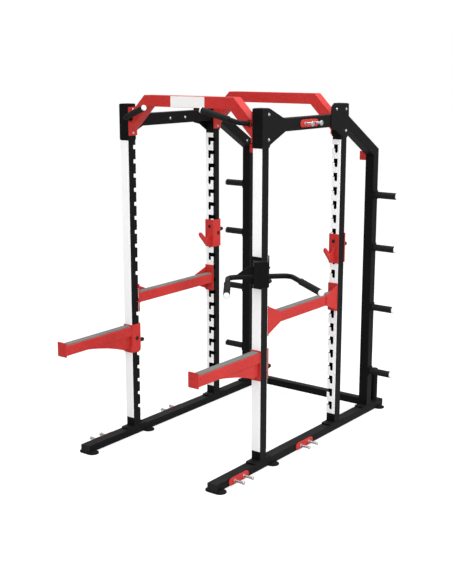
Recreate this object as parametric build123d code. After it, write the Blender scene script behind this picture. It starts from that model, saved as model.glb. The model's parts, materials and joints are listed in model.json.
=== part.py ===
from build123d import *
import math
import os

# Power rack (lifting cage): two floor runners, four slotted uprights, two arched cross beams,
# a plate storage bay behind, and lift-off attachments that hook into L-shaped slots.
# Millimetres. X = 0 is the plane of symmetry of the cage, Y = 0 is midway between the front and
# rear uprights, Z = 0 is the floor. -Y is the lifter's side, +Y is the plate storage side.
# Heights in this file are drawn from a datum DATUM below the floor; save() lowers every solid by it.

# ---------------------------------------------------------------- driving dimensions
DATUM = 20.0             # drawing datum below the floor
CAGE_W = 1206.0          # outside width over the uprights
UP_W = 72.0              # upright, across X
UP_D = 80.0              # upright with its liners, along Y
UP_WALL = 4.0
UP_R = 5.0               # outer corner radius of the tube
LINER = 3.0              # plastic liner thickness on an upright's face
CAGE_D = 1042.0          # outside depth over the uprights
TOP_Z = 2431.0           # top of the uprights
RUN_W, RUN_H = 80.0, 54.0
RUN_Z0 = 30.0            # underside of the runners
RUN_Y0, RUN_Y1 = -992.0, 1179.0
RUN_WALL = 4.0
PLATE_T = 10.0           # base flange thickness
STORE_Y0, STORE_Y1 = 925.0, 995.0
STORE_WALL = 4.0
SLOPE = math.radians(30.0)
LINER_Z0, LINER_Z1 = 158.0, 2183.0
SLOT_N = 20
SLOT_PITCH = 100.0
SLOT_B0 = 188.0          # bottom of the lowest slot
SLOT_H = 61.0            # whole height of a slot
SLOT_W = 24.0            # width of the pocket
SLOT_CH = 30.0           # height of the entry channel
SLOT_IN = 28.0           # how deep the entry channel cuts the inner side face
ARCH_Z1 = 2497.0
ARCH_H = 75.0
ARCH_WALL = 3.0
ARCH_HALF = 376.0        # half length of the arch's flat top
BEAM_Z0, BEAM_Z1 = 2277.0, 2361.0
GUS_T = 5.0
BRK_CL = 0.6             # clearance between a bracket and its upright
BRK_T = 5.0              # bracket side and front plates
FLG_T = 8.0              # bracket plate that carries the studs or the lock pin
STUD_R = 10.0
HEAD_R = 13.5
HORN_R = 25.0
HORN_X1 = 790.0
HORN_Z = (1742.0, 1342.0, 878.0, 368.0)

XO = CAGE_W / 2                 # 603, outer face of the uprights
XI = XO - UP_W                  # 531, inner face
XC = (XO + XI) / 2              # 567, upright centre line
YF0 = -CAGE_D / 2               # -521, front face of the front uprights
YF1 = YF0 + UP_D                # -441
YR1 = CAGE_D / 2                # 521
YR0 = YR1 - UP_D                # 441
RUN_Z1 = RUN_Z0 + RUN_H         # 84
BASE_Z = RUN_Z1 + PLATE_T       # 94

os.makedirs("parts", exist_ok=True)


# ---------------------------------------------------------------- helpers
def bx(x0, x1, y0, y1, z0, z1):
    x0, x1 = min(x0, x1), max(x0, x1)
    y0, y1 = min(y0, y1), max(y0, y1)
    z0, z1 = min(z0, z1), max(z0, z1)
    return Pos((x0 + x1) / 2, (y0 + y1) / 2, (z0 + z1) / 2) * Box(x1 - x0, y1 - y0, z1 - z0)


def cyl(axis, r, a, b, p, q):
    """Cylinder of radius r from a to b along axis; p and q are the other two coordinates in X, Y, Z order."""
    m, length = (a + b) / 2, abs(b - a)
    if axis == "x":
        return Pos(m, p, q) * Rot(0, 90, 0) * Cylinder(r, length)
    if axis == "y":
        return Pos(p, m, q) * Rot(90, 0, 0) * Cylinder(r, length)
    return Pos(p, q, m) * Cylinder(r, length)


def prism(pts, direction, amount):
    f = make_face(Polyline(*pts, close=True))
    return extrude(f, amount=amount, dir=direction)


def prism_yz(pts, x0, x1):
    return prism([(x0, y, z) for y, z in pts], (1 if x1 > x0 else -1, 0, 0), abs(x1 - x0))


def prism_xz(pts, y0, y1):
    return prism([(x, y0, z) for x, z in pts], (0, 1 if y1 > y0 else -1, 0), abs(y1 - y0))


def round_tube(w, d, r, wall, z0, z1, cx, cy):
    """Upright rectangular tube with rounded corners, open at both ends."""
    outer = Pos(cx, cy, z0) * RectangleRounded(w, d, r)
    inner = Pos(cx, cy, z0) * RectangleRounded(w - 2 * wall, d - 2 * wall, max(r - wall, 0.8))
    return extrude(outer - inner, amount=z1 - z0, dir=(0, 0, 1))


def mirror_x(s):
    return mirror(s, about=Plane.YZ)


def both(s):
    return [s, mirror_x(s)]


def save(name, shapes):
    """One STEP per node; a list is a group of separate solids."""
    if not isinstance(shapes, (list, tuple)):
        shapes = [shapes]
    solids = []
    for s in shapes:
        solids += list((Pos(0, 0, -DATUM) * s).solids())
    thing = solids[0] if len(solids) == 1 else Compound(children=solids)
    export_step(thing, f"parts/{name}.step")


def bolt(axis, sign, p, base, r=8.0, h=5.5, washer_r=11.0):
    """Domed bolt head on a washer, standing on the face at `base` along sign*axis; p are the other two coordinates."""
    w = cyl(axis, washer_r, base, base + sign * 1.6, *p)
    head = cyl(axis, r, base + sign * 1.6, base + sign * (1.6 + h), *p)
    far = head.faces().sort_by({"x": Axis.X, "y": Axis.Y, "z": Axis.Z}[axis])[-1 if sign > 0 else 0]
    head = fillet(far.edges(), 2.6)
    return w + head


def slot_bottom(k):
    return SLOT_B0 + SLOT_PITCH * k


# ---------------------------------------------------------------- floor runners, feet
def runner():
    cx = 565.0
    o = bx(cx - RUN_W / 2, cx + RUN_W / 2, RUN_Y0, RUN_Y1, RUN_Z0, RUN_Z1)
    o = fillet(o.edges().filter_by(Axis.Y), 5.0)
    i = bx(cx - RUN_W / 2 + RUN_WALL, cx + RUN_W / 2 - RUN_WALL, RUN_Y0 - 1, RUN_Y1 + 1,
           RUN_Z0 + RUN_WALL, RUN_Z1 - RUN_WALL)
    return o - i


RUN_X = 565.0
run_r = runner()
save("runner_right", run_r)
save("runner_left", mirror_x(run_r))

caps = []
for y0, s in ((RUN_Y0, -1), (RUN_Y1, 1)):
    face = bx(RUN_X - RUN_W / 2, RUN_X + RUN_W / 2, y0, y0 + s * 3.0, RUN_Z0, RUN_Z1)
    face = fillet(face.edges().filter_by(Axis.Y), 5.0)
    plug = bx(RUN_X - RUN_W / 2 + RUN_WALL + 0.4, RUN_X + RUN_W / 2 - RUN_WALL - 0.4, y0, y0 - s * 18.0,
              RUN_Z0 + RUN_WALL + 0.4, RUN_Z1 - RUN_WALL - 0.4)
    caps.append(face + plug)
save("runner_end_caps", caps + [mirror_x(c) for c in caps])

# wide flared rubber shoes: the runner is set into a channel across the top
feet = []
for y in (YF0 - 434.0, YF0 + 164.0, YF0 + 1656.0):
    low = Pos(RUN_X, y, DATUM) * RectangleRounded(152, 88, 43)
    mid = Pos(RUN_X, y, DATUM + 6) * RectangleRounded(150, 86, 42)
    high = Pos(RUN_X, y, DATUM + 19) * RectangleRounded(94, 74, 30)
    foot = extrude(low, amount=6, dir=(0, 0, 1)) + loft([mid, high])
    feet.append(foot - bx(RUN_X - RUN_W / 2 - 0.1, RUN_X + RUN_W / 2 + 0.1, y - 60, y + 60, RUN_Z0 - 0.05, RUN_Z1))
save("rubber_feet", feet + [mirror_x(f) for f in feet])

# ---------------------------------------------------------------- rear base cross member
cross = bx(-XI, XI, STORE_Y0 + 5, STORE_Y1 - 5, RUN_Z1 + 0.0, 140.0)
cross = fillet(cross.edges().filter_by(Axis.X), 4.0)
cross = cross - bx(-XI - 1, XI + 1, STORE_Y0 + 9, STORE_Y1 - 9, RUN_Z1 + 4, 136.0)
for sx in (-1, 1):
    cross = cross - bx(sx * (RUN_X - 38.0), sx * (XI + 1), STORE_Y0, STORE_Y1, RUN_Z1 - 1, BASE_Z)
save("rear_base_crossmember", cross)


# ---------------------------------------------------------------- slotted uprights
def slot_tools(face_y, inward, depth_wall):
    """Cutters for the L-slots of the right-hand upright. face_y is the slotted outer surface (liner included),
    inward is +1 or -1 along Y into the tube, depth_wall reaches through liner and wall."""
    out = []
    y0, y1 = face_y - inward * 1.0, face_y + inward * depth_wall
    for k in range(SLOT_N):
        b = slot_bottom(k)
        out.append(bx(XC - SLOT_W / 2, XC + SLOT_W / 2, y0, y1, b + SLOT_W / 2, b + SLOT_H - 4))
        out.append(bx(XC - SLOT_W / 2, XC + SLOT_W / 2 - 4, y0, y1, b + SLOT_H - 6, b + SLOT_H))
        out.append(cyl("y", 4.0, min(y0, y1), max(y0, y1), XC + SLOT_W / 2 - 4, b + SLOT_H - 4))
        out.append(cyl("y", SLOT_W / 2, min(y0, y1), max(y0, y1), XC, b + SLOT_W / 2))
        out.append(bx(XI - 1, XC, y0, y1, b + SLOT_H - SLOT_CH, b + SLOT_H))
    return out


def notch_tools(face_y, inward):
    out = []
    for k in range(SLOT_N):
        b = slot_bottom(k)
        out.append(bx(XI - 1, XI + UP_WALL + 1.5, face_y - inward * 1.0, face_y + inward * SLOT_IN,
                      b + SLOT_H - SLOT_CH, b + SLOT_H))
    return out


# front uprights: plain liner in front, slots and a second liner on the rear face
fu = round_tube(UP_W, UP_D - 2 * LINER, UP_R, UP_WALL, BASE_Z, TOP_Z, XC, (YF0 + YF1) / 2)
fu = fu - (slot_tools(YF1, -1, LINER + UP_WALL + 1.5) + notch_tools(YF1, -1))
save("upright_front_right", fu)
save("upright_front_left", mirror_x(fu))

# rear uprights: slots and liner on the front face, a row of lock windows behind
ru = round_tube(UP_W, UP_D - LINER, UP_R, UP_WALL, BASE_Z, TOP_Z, XC, (YR0 + LINER + YR1) / 2)
win = []
for k in range(SLOT_N):
    b = slot_bottom(k)
    z0 = b + 26.0
    win.append(bx(XC - 7, XC + 7, YR1 - UP_WALL - 1.5, YR1 + 1, z0 + 7, b + 54))
    win.append(cyl("y", 7.0, YR1 - UP_WALL - 1.5, YR1 + 1, XC, z0 + 7))
    win.append(cyl("y", 7.0, YR1 - UP_WALL - 1.5, YR1 + 1, XC, b + 54))
ru = ru - (slot_tools(YR0, 1, LINER + UP_WALL + 1.5) + notch_tools(YR0, 1) + win)
save("upright_rear_right", ru)
save("upright_rear_left", mirror_x(ru))


def liner(face_y, inward, slotted):
    o = bx(XI + 1.0, XO - 1.0, face_y, face_y + inward * LINER, LINER_Z0, LINER_Z1)
    edge = o.edges().filter_by(Axis.Z).group_by(Axis.Y)[0 if inward > 0 else -1]
    o = chamfer(edge, 1.2)
    if slotted:
        o = o - slot_tools(face_y, inward, LINER + 1.0)
    return o


lf = liner(YF0, 1, False)
save("front_upright_face_liners", both(lf))
lfs = liner(YF1, -1, True)
save("front_upright_slot_liners", both(lfs))
lrs = liner(YR0, 1, True)
save("rear_upright_slot_liners", both(lrs))

# black plugs that close the open tops of the uprights
plugs = []
for cy, d in (((YF0 + YF1) / 2, UP_D - 2 * LINER), ((YR0 + LINER + YR1) / 2, UP_D - LINER)):
    p = Pos(XC, cy, TOP_Z) * RectangleRounded(UP_W, d, UP_R)
    p = extrude(p, amount=3.0, dir=(0, 0, 1))
    q = extrude(Pos(XC, cy, TOP_Z) * RectangleRounded(UP_W - 2 * UP_WALL - 0.8, d - 2 * UP_WALL - 0.8, 1.0), amount=16.0, dir=(0, 0, -1))
    plugs.append(p + q)
save("upright_top_plugs", plugs + [mirror_x(p) for p in plugs])

# ---------------------------------------------------------------- base flanges and their bolts
flanges, base_bolts = [], []
STORE_C = (STORE_Y0 + STORE_Y1) / 2
for y0, y1 in ((YF0 - 62, YF1 + 62), (YR0 - 62, YR1 + 62), (STORE_Y0 - 60, STORE_Y1 + 60)):
    pl = bx(RUN_X - 38, RUN_X + 38, y0, y1, RUN_Z1, BASE_Z)
    pl = chamfer(pl.edges().filter_by(Axis.Z), 8.0)
    flanges.append(pl)
    for yb in (y0 + 21, y1 - 21):
        base_bolts.append(bolt("z", 1, (RUN_X, yb), BASE_Z))
save("base_flanges", flanges + [mirror_x(p) for p in flanges])
save("base_bolts", base_bolts + [mirror_x(p) for p in base_bolts])


# ---------------------------------------------------------------- storage uprights with sloped tie beam
def storage_upright():
    """Vertical tube mitred to a sloped tie beam that runs forward and up to the rear upright."""
    c, s = math.cos(SLOPE), math.sin(SLOPE)
    t = math.tan(SLOPE)
    z_top_rear = 2084.0
    depth = STORE_Y1 - STORE_Y0

    def outline(off):
        # outer polygon inset by off: vertical leg between STORE_Y0 and STORE_Y1, sloped leg parallel lines
        yr, yf = STORE_Y1 - off, STORE_Y0 + off
        top = lambda y: z_top_rear - off / c + (STORE_Y1 - y) * t
        gap = 88.0 - 2 * off / c
        bot = lambda y: top(y) - gap
        ye = YR1 - (1 if off else 0)
        zb = BASE_Z - (1 if off else 0)
        return [(yr, zb), (yr, top(yr)), (ye, top(ye)), (ye, bot(ye)), (yf, bot(yf)), (yf, zb)]
    o = prism_yz(outline(0.0), XI, XO)
    o = fillet(o.edges().filter_by(lambda e: abs((e @ 1 - e @ 0).X) < 1e-6 and e.length > 400), 4.0)
    i = prism_yz(outline(STORE_WALL), XI + STORE_WALL, XO - STORE_WALL)
    return o - i


st = storage_upright()
save("storage_upright_right", st)
save("storage_upright_left", mirror_x(st))

# ---------------------------------------------------------------- top side beams, gussets
beam = bx(XI, XO, YF1, YR0 + LINER, BEAM_Z0, BEAM_Z1)
beam = fillet(beam.edges().filter_by(Axis.Y), 4.0)
beam = beam - bx(XI + 3.5, XO - 3.5, YF1 - 1, YR0 + LINER + 1, BEAM_Z0 + 3.5, BEAM_Z1 - 3.5)
# the front end meets the tube wall behind its liner line
beam = beam + (bx(XI, XO, YF1 - LINER, YF1, BEAM_Z0, BEAM_Z1) - bx(XI + 3.5, XO - 3.5, YF1 - LINER - 1, YF1 + 1, BEAM_Z0 + 3.5, BEAM_Z1 - 3.5))
save("top_side_beams", both(beam))

fy = YF0 - 2.0
side_pts = [(fy, 2186), (YF0 + 76, 2186), (YF0 + 84, 2203), (YF0 + 256, 2278), (YF0 + 243, 2362), (YF0 + 78, TOP_Z), (fy, TOP_Z)]
g_out = prism_yz(side_pts, XO, XO + GUS_T)
g_in = bx(XI - GUS_T, XI, fy, YF1 - LINER - 0.5, 2186, TOP_Z)
g_web = bx(XI - GUS_T, XO + GUS_T, fy, YF0 + LINER, 2186, TOP_Z)
fg = g_out + g_in + g_web
fg = fillet(fg.edges().filter_by(Axis.Z).group_by(Axis.Y)[0], 3.0)
save("front_top_gussets", both(fg))

rg_pts = [(YR0 - 141, 2267), (YR0 - 141, 2395), (YR0 - 126, TOP_Z), (YR1 + 10, TOP_Z), (YR1 + 13, 2352), (YR1 + 13, 2252),
          (YR1 - 2, 2196), (YR0 + 23, 2196), (YR0 - 71, 2252)]
rg = prism_yz(rg_pts, XO, XO + GUS_T)
rg_in = bx(XI - GUS_T, XI, YR0, YR1, 2205, 2412)
save("rear_top_gussets", both(rg) + both(rg_in))

gb = []
for y, z in ((YF0 + 65, 2394), (YF0 + 66, 2236)):
    gb.append(bolt("x", 1, (y, z), XO + GUS_T, r=7.5, h=5, washer_r=10))
for y, z in ((YR0 - 74, 2398), (YR1 - 25, 2393), (YR1 - 24, 2243)):
    gb.append(bolt("x", 1, (y, z), XO + GUS_T, r=7.5, h=5, washer_r=10))
for y in (STORE_Y0 - 38,):
    gb.append(bolt("x", -1, (y, 2098), XI, r=7.5, h=5, washer_r=10))


# ---------------------------------------------------------------- arched cross beams
def arch(y0, y1):
    h = ARCH_H
    xe = XI - GUS_T - 10.0       # outer face of the end flange side
    zt = ARCH_Z1

    def band(off):
        # flat top between the bends, 45 degree legs down to the flanges
        t = zt - off
        b = zt - h + off
        k = math.tan(math.radians(22.5))
        xo = ARCH_HALF - off * k
        xi_ = ARCH_HALF - h * k + off * k
        e = xe + (1.0 if off else 0.0)
        return [(-e, t - (e - xo)), (-xo, t), (xo, t), (e, t - (e - xo)), (e, b - (e - xi_)), (xi_, b), (-xi_, b), (-e, b - (e - xi_))]
    o = prism_xz(band(0.0), y0, y1)
    i = prism_xz(band(ARCH_WALL), y0 + ARCH_WALL, y1 - ARCH_WALL)
    z_t = zt - (xe - ARCH_HALF)
    z_b = z_t - h * math.sqrt(2)
    fl = bx(xe, xe + 10.0, y0, y1, 2217, 2412)
    fl = fl - bx(xe - 1, xe + 11, y0 + 14, y1 - 14, z_b + 18, z_t - 18)
    return (o - i) + [fl, mirror_x(fl)]


fa = arch(YF0, YF1)
save("front_arch", fa)
ra = arch(YR0, YR1)
save("rear_arch", ra)

xe = XI - GUS_T - 10.0
for yc in ((YF0 + YF1) / 2, (YR0 + YR1) / 2):
    for z in (2235.0, 2394.0):
        gb.append(bolt("x", -1, (yc, z), xe, r=7.5, h=5, washer_r=10))
PEG_TOP_Y = YF0 + 542.0
for dy in (-85.0, 85.0):       # through bolts of the upper peg plates
    gb.append(bolt("x", -1, (PEG_TOP_Y + dy, 2317.0), XI, r=7.5, h=5, washer_r=10))
save("frame_bolts", gb + [mirror_x(b) for b in gb])

np_ = bx(-143, 143, YF0 - 2.0, YF0, ARCH_Z1 - 73.5, ARCH_Z1 - 1.5)
np_ = fillet(np_.edges().filter_by(Axis.Y), 3.0)
save("blank_nameplate", np_)

# ---------------------------------------------------------------- pull-up grips
G_ROOT = Vector(xe, YF0 + 22, 2335)
G_BEND = Vector(477, YF0 - 85, 2346)
G_END = Vector(232, YF0 - 161, 2423)


def rod(a, b, r, wall=0.0):
    d = (b - a)
    pl = Plane(origin=a, z_dir=d)
    sk = Circle(r) if not wall else Circle(r) - Circle(r - wall)
    return extrude(pl * sk, amount=d.length)


grip_path = FilletPolyline(tuple(G_ROOT), tuple(G_BEND), tuple(G_END), radius=45.0)
gp_start = Plane(origin=G_ROOT, z_dir=(G_BEND - G_ROOT))
grip = sweep(gp_start * Circle(16.0), path=grip_path)
# the tube is trimmed flat on the front face of the arch leg, where a round weld collar joins it
grip = grip - bx(G_ROOT.X - 60, G_ROOT.X + 60, YF0, YF0 + 90, 2270, 2400)
collar = cyl("y", 23.0, YF0 - 4, YF0, 507.0, 2337.5) - bx(XI - GUS_T - 4, XI + 20, YF0 - 6, YF0 + 1, 2300, 2380)
grip = grip + collar
g_dir = (G_END - G_BEND).normalized()
s0 = G_BEND + g_dir * 62.0
s1 = G_END - g_dir * 12.0
save("pull_up_grips", both(grip - rod(s1 - g_dir * 0.0, G_END + g_dir * 10, 30)))
sleeve = rod(s0, s1, 20.0) - rod(s0 - g_dir, s1 + g_dir, 16.05)
sleeve = fillet(sleeve.edges().filter_by(GeomType.CIRCLE).sort_by(lambda e: -e.radius)[:2], 2.0)
save("pull_up_grip_sleeves", both(sleeve))


def dome_cap(a, d, r, t, inset):
    """Domed end cap on the end face at a, pointing along d."""
    pl = Plane(origin=a, z_dir=d)
    prof = make_face(Polyline((0, 0), (r, 0), (r, t * 0.45), (r * 0.86, t * 0.8), (r * 0.55, t * 0.97), (0, t), close=True))
    body = revolve(Plane.XZ * prof, axis=Axis.Z)
    return pl.location * body


cap = dome_cap(s1, g_dir, 18.5, 12.0, 0)
save("pull_up_grip_caps", both(cap))

# ---------------------------------------------------------------- weight horns
horns, hcaps, hplates, hbolts = [], [], [], []
for z in HORN_Z:
    h = cyl("x", HORN_R, XO + 6, HORN_X1 - 8, STORE_C, z) - cyl("x", 18.0, XO + 5, HORN_X1, STORE_C, z)
    horns.append(h)
    core = cyl("x", 17.95, XO, HORN_X1 - 8, STORE_C, z) - cyl("x", 14.0, XO - 1, HORN_X1, STORE_C, z)
    fl = bx(XO, XO + 6, STORE_Y0 + 3, STORE_Y1 - 3, z - 32, z + 32) - cyl("x", 17.0, XO - 1, XO + 8, STORE_C, z)
    hplates.append(core + fl)
    hcaps.append(dome_cap(Vector(HORN_X1 - 8, STORE_C, z), Vector(1, 0, 0), HORN_R, 14.0, 0))
    hbolts.append(bolt("x", -1, (STORE_C, z), XI, r=10, h=6, washer_r=13))
save("weight_horn_sleeves", horns + [mirror_x(h) for h in horns])
save("weight_horn_spindles", hplates + [mirror_x(h) for h in hplates])
save("weight_horn_caps", hcaps + [mirror_x(h) for h in hcaps])
save("weight_horn_bolts", hbolts + [mirror_x(h) for h in hbolts])

# small red hook tabs on the inner faces of the storage uprights
tab = bx(XI - 52, XI, STORE_Y0 + 2, STORE_Y0 + 10, 1999, 2066)
tab = fillet(tab.edges().filter_by(Axis.Y).group_by(Axis.X)[0], 6.0)
save("strap_hook_tabs", both(tab))

# ---------------------------------------------------------------- barbell holders on the runner tails
HOLD_Y = 1103.0
HOLD_TOP = 346.0
hold = cyl("z", 28.0, RUN_Z1 + 8, HOLD_TOP, RUN_X, HOLD_Y) - cyl("z", 25.5, RUN_Z1 + 8, HOLD_TOP + 1, RUN_X, HOLD_Y)
hbase = bx(RUN_X - 38, RUN_X + 38, HOLD_Y - 45, HOLD_Y + 45, RUN_Z1, RUN_Z1 + 8)
hbase = fillet(hbase.edges().filter_by(Axis.Z), 8.0)
save("barbell_holders", both(hold + hbase))

# ---------------------------------------------------------------- band pegs
peg_plates, pegs = [], []


def peg_set(x, y, z, x_tip, dy_peg, r, head_r, head_t, soft):
    """Rounded plate with two headed pegs that point away from the cage."""
    pl = bx(x, x + 6, y - 107, y + 107, z - 24, z + 24)
    pl = fillet(pl.edges().filter_by(Axis.X), 22.0)
    peg_plates.append(pl)
    for dy in (-dy_peg, dy_peg):
        shaft = cyl("x", r, x + 6, x_tip - head_t, y + dy, z)
        collar = cyl("x", r + 4.0, x + 6, x + 9, y + dy, z)
        tip = cyl("x", head_r, x_tip - head_t, x_tip, y + dy, z)
        tip = fillet(tip.edges().filter_by(GeomType.CIRCLE), soft)
        pegs.append(shaft + [collar, tip])


peg_set(605.0, YF0 - 243, RUN_Z0 + RUN_H / 2, 688.0, 50.5, 9.0, 13.0, 10.0, 3.8)
peg_set(605.0, YF0 + 545, RUN_Z0 + RUN_H / 2, 688.0, 50.5, 9.0, 13.0, 10.0, 3.8)
peg_set(XO, PEG_TOP_Y, (BEAM_Z0 + BEAM_Z1) / 2, 672.0, 54.5, 8.0, 17.5, 7.0, 2.5)
save("band_peg_plates", peg_plates + [mirror_x(p) for p in peg_plates])
save("band_pegs", pegs + [mirror_x(p) for p in pegs])


# ---------------------------------------------------------------- lift-off attachments
def ubracket(yf, yr, z0, z1, stud_side):
    """Channel that wraps the front, inner side and rear of the right-hand upright standing between yf and yr.
    The side that carries studs or the lock pin is thicker."""
    xi = XI - BRK_CL
    side = bx(xi - BRK_T, xi, yf - BRK_CL - BRK_T, yr + BRK_CL + FLG_T, z0, z1)
    front = bx(xi - BRK_T, XO + 3, yf - BRK_CL - BRK_T, yf - BRK_CL, z0, z1)
    rear = bx(xi - BRK_T, XO + 3, yr + BRK_CL, yr + BRK_CL + FLG_T, z0, z1)
    u = side + [front, rear]
    e = u.edges().filter_by(Axis.Z).filter_by(lambda q: abs((q @ 0).X - (xi - BRK_T)) < 1e-6)
    return fillet(e, 3.5)


def stud(face_y, inward, z, outer_y):
    """Headed stud: neck through the slot, head behind the tube wall. outer_y is where its welded root ends."""
    wall_in = face_y + inward * (LINER + UP_WALL)
    neck_end = wall_in + inward * 1.0
    neck = cyl("y", STUD_R, min(outer_y, neck_end), max(outer_y, neck_end), XC, z)
    head = cyl("y", HEAD_R, min(neck_end, neck_end + inward * 6), max(neck_end, neck_end + inward * 6), XC, z)
    return neck + head


PIN_R = 5.0
PIN_DZ = 33.0        # lock pin above the bottom of its slot
LIFT = 22.0          # lift left by an engaged lock pin


def lock_pin(face_y, z, reach):
    """Spring lock pin on the rear side of a bracket: nose goes into the upright (-Y), knob points to +Y."""
    fy1 = face_y + BRK_CL + FLG_T
    nose = cyl("y", PIN_R, face_y - reach, fy1 + 26.5, XC, z)
    nose = chamfer(nose.edges().filter_by(GeomType.CIRCLE).sort_by(Axis.Y)[:1], 1.5)
    shaft = cyl("y", 4.0, fy1 + 26.0, fy1 + 44, XC, z)
    knob = cyl("y", 14.0, fy1 + 42, fy1 + 72, XC, z)
    knob = fillet(knob.edges().filter_by(GeomType.CIRCLE).sort_by(Axis.Y)[-1:], 6.0)
    knob = fillet(knob.edges().filter_by(GeomType.CIRCLE).sort_by(Axis.Y)[:1], 3.0)
    return nose + [shaft, knob]


def pin_barrel(face_y, z):
    """Welded barrel that guides the lock pin."""
    fy1 = face_y + BRK_CL + FLG_T
    b = cyl("y", 10.0, fy1, fy1 + 26, XC, z) - cyl("y", PIN_R + 0.08, fy1 - 1, fy1 + 27, XC, z)
    return b


def pin_hole(face_y, z):
    return cyl("y", PIN_R + 0.08, face_y, face_y + BRK_CL + FLG_T + 1, XC, z)


def side_disc(y, z):
    x = XI - BRK_CL - BRK_T
    d = cyl("x", 15.0, x - 3.0, x, y, z)
    return fillet(d.edges().filter_by(GeomType.CIRCLE).sort_by(Axis.X)[:1], 1.5)


# J-cups on the rear uprights: slots are on the upright's front face
JC_Z0, JC_Z1 = 1298.0, 1511.0
jb = slot_bottom(12)
ju = ubracket(YR0, YR1, JC_Z0, JC_Z1, "front")
jf = YR0 - BRK_CL - BRK_T
# narrow J plate in the middle of the front plate; the barbell lies in its V
hook_pts = [(jf, 1303), (jf, 1410), (jf - 6, 1392), (jf - 18, 1376), (jf - 34, 1369), (jf - 50, 1373), (jf - 96, 1412), (jf - 110, 1424),
            (jf - 120, 1422), (jf - 126, 1410), (jf - 122, 1398), (jf - 50, 1322), (jf - 24, 1306)]
hook = prism_yz(hook_pts, XC - 10, XC + 6)
jcup = (ju + hook) - pin_hole(YR1, jb + PIN_DZ)
jcup = jcup + pin_barrel(YR1, jb + PIN_DZ)
jcup = jcup - cyl("y", 10.0, jf - 1, jf + 3.5, XC - 3, 1458)
save("j_cup_right", jcup)
save("j_cup_left", mirror_x(jcup))
j_stud = stud(YR0, 1, jb + 11, YR0 - BRK_CL)
j_hw = [j_stud, side_disc(YR1 - 23, 1403)]
save("j_cup_right_hardware", j_hw)
save("j_cup_left_hardware", [mirror_x(h) for h in j_hw])
j_pin = lock_pin(YR1, jb + PIN_DZ, UP_WALL + 3)
save("j_cup_right_lock_pin", j_pin)
save("j_cup_left_lock_pin", mirror_x(j_pin))

# outer spotter arms on the front uprights: slots are on the upright's rear face
SP_Z0, SP_Z1 = 656.0, 863.0
SP_Y0 = YF0 - 662.0
sb_ = slot_bottom(6)
sl_ = slot_bottom(5)
su = ubracket(YF0, YF1, SP_Z0, SP_Z1, "rear")
sf = YF0 - BRK_CL - BRK_T
AX0, AX1 = XC - 35.0, XC + 35.0
arm_o = bx(AX0, AX1, SP_Y0 + 6, sf, 780, 849)
arm_o = fillet(arm_o.edges().filter_by(Axis.Y), 4.0)
arm_o = arm_o - bx(AX0 + 4, AX1 - 4, SP_Y0 + 5, sf - 6, 784, 845)
web_low = [(440, 780), (400, 774.5), (350, 765), (300, 755), (250, 744), (200, 730.5), (150, 715), (110, 701.5), (86, 693), (68, 688)]
web_pts = [(YF0 - d, z) for d, z in web_low] + [(YF0 - 68, 781), (YF0 - 440, 781)]
web_o = prism_yz(web_pts, AX0, AX1)
web_i = prism_yz([(YF0 - d, z + 5) for d, z in web_low if 80 < d < 410] + [(YF0 - 73, 695), (YF0 - 73, 782), (YF0 - 400, 782)], AX0 + 5, AX1 - 5)
web = web_o - web_i
neck = bx(XC - 22, XC + 22, YF0 - 69, sf, 690, 781)
endp = bx(XC - 40, XC + 40, SP_Y0, SP_Y0 + 6, 772, 872)
endp = fillet(endp.edges().filter_by(Axis.Y), 3.0)
spot = (su + [arm_o, web, neck, endp]) - pin_hole(YF1, sl_ + PIN_DZ)
spot = spot + pin_barrel(YF1, sl_ + PIN_DZ)
# rounded lower rear corner of the side plate
corner = bx(XI - 20, XI - BRK_CL + 0.0, YF1 - 16, YF1 + 30, SP_Z0 - 1, SP_Z0 + 26) - cyl("x", 26.0, XI - 30, XI + 10, YF1 + BRK_CL + FLG_T - 26, SP_Z0 + 26)
spot = spot - corner
save("spotter_arm_right", spot)
save("spotter_arm_left", mirror_x(spot))
s_pad = bx(AX0 + 10, AX1 - 10, SP_Y0 + 6.5, sf - 0.5, 849, 857)
s_pad = fillet(s_pad.edges().filter_by(Axis.Y).group_by(Axis.Z)[-1], 3.0)
save("spotter_arm_right_pad", s_pad)
save("spotter_arm_left_pad", mirror_x(s_pad))
s_stud = stud(YF1, -1, sb_ + 11, YF1 + BRK_CL)
s_hw = [s_stud, side_disc(YF0 + 48, 757)]
save("spotter_arm_right_hardware", s_hw)
save("spotter_arm_left_hardware", [mirror_x(s) for s in s_hw])
s_pin = lock_pin(YF1, sl_ + PIN_DZ, LINER + UP_WALL + 3)
save("spotter_arm_right_lock_pin", s_pin)
save("spotter_arm_left_lock_pin", mirror_x(s_pin))

# inner safety bars from the front upright's rear face to the rear upright's front face
SB_Z0, SB_Z1 = 949.0, 1152.0
ya, yb = YF1 + BRK_CL, YR0 - BRK_CL
bar = bx(XC - 30, XC + 30, ya + 8, yb - 8, 1012, 1083)
bar = fillet(bar.edges().filter_by(Axis.Y), 4.0)
bar = bar - bx(XC - 26, XC + 26, ya + 13, yb - 13, 1016, 1079)
ends = [bx(XI - 2, XO + 2, ya, ya + 8, SB_Z0, SB_Z1), bx(XI - 2, XO + 2, yb - 8, yb, SB_Z0, SB_Z1)]
gp_f = [(8, 957), (8, 1147), (145, 1091), (145, 1013)]
gp_r = [(8, 959), (8, 1134), (145, 1089), (145, 1013)]
gus = [prism_yz([(ya + d, z) for d, z in gp_f], XC + 30, XC + 36), prism_yz([(yb - d, z) for d, z in gp_r], XC + 30, XC + 36)]
safety = bar + ends + gus
save("safety_bar_right", safety)
save("safety_bar_left", mirror_x(safety))
b_pad = bx(XC - 23, XC + 23, ya + 8.5, yb - 8.5, 1083, 1091)
b_pad = fillet(b_pad.edges().filter_by(Axis.Y).group_by(Axis.Z)[-1], 3.0)
save("safety_bar_right_pad", b_pad)
save("safety_bar_left_pad", mirror_x(b_pad))
b_st = []
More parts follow.
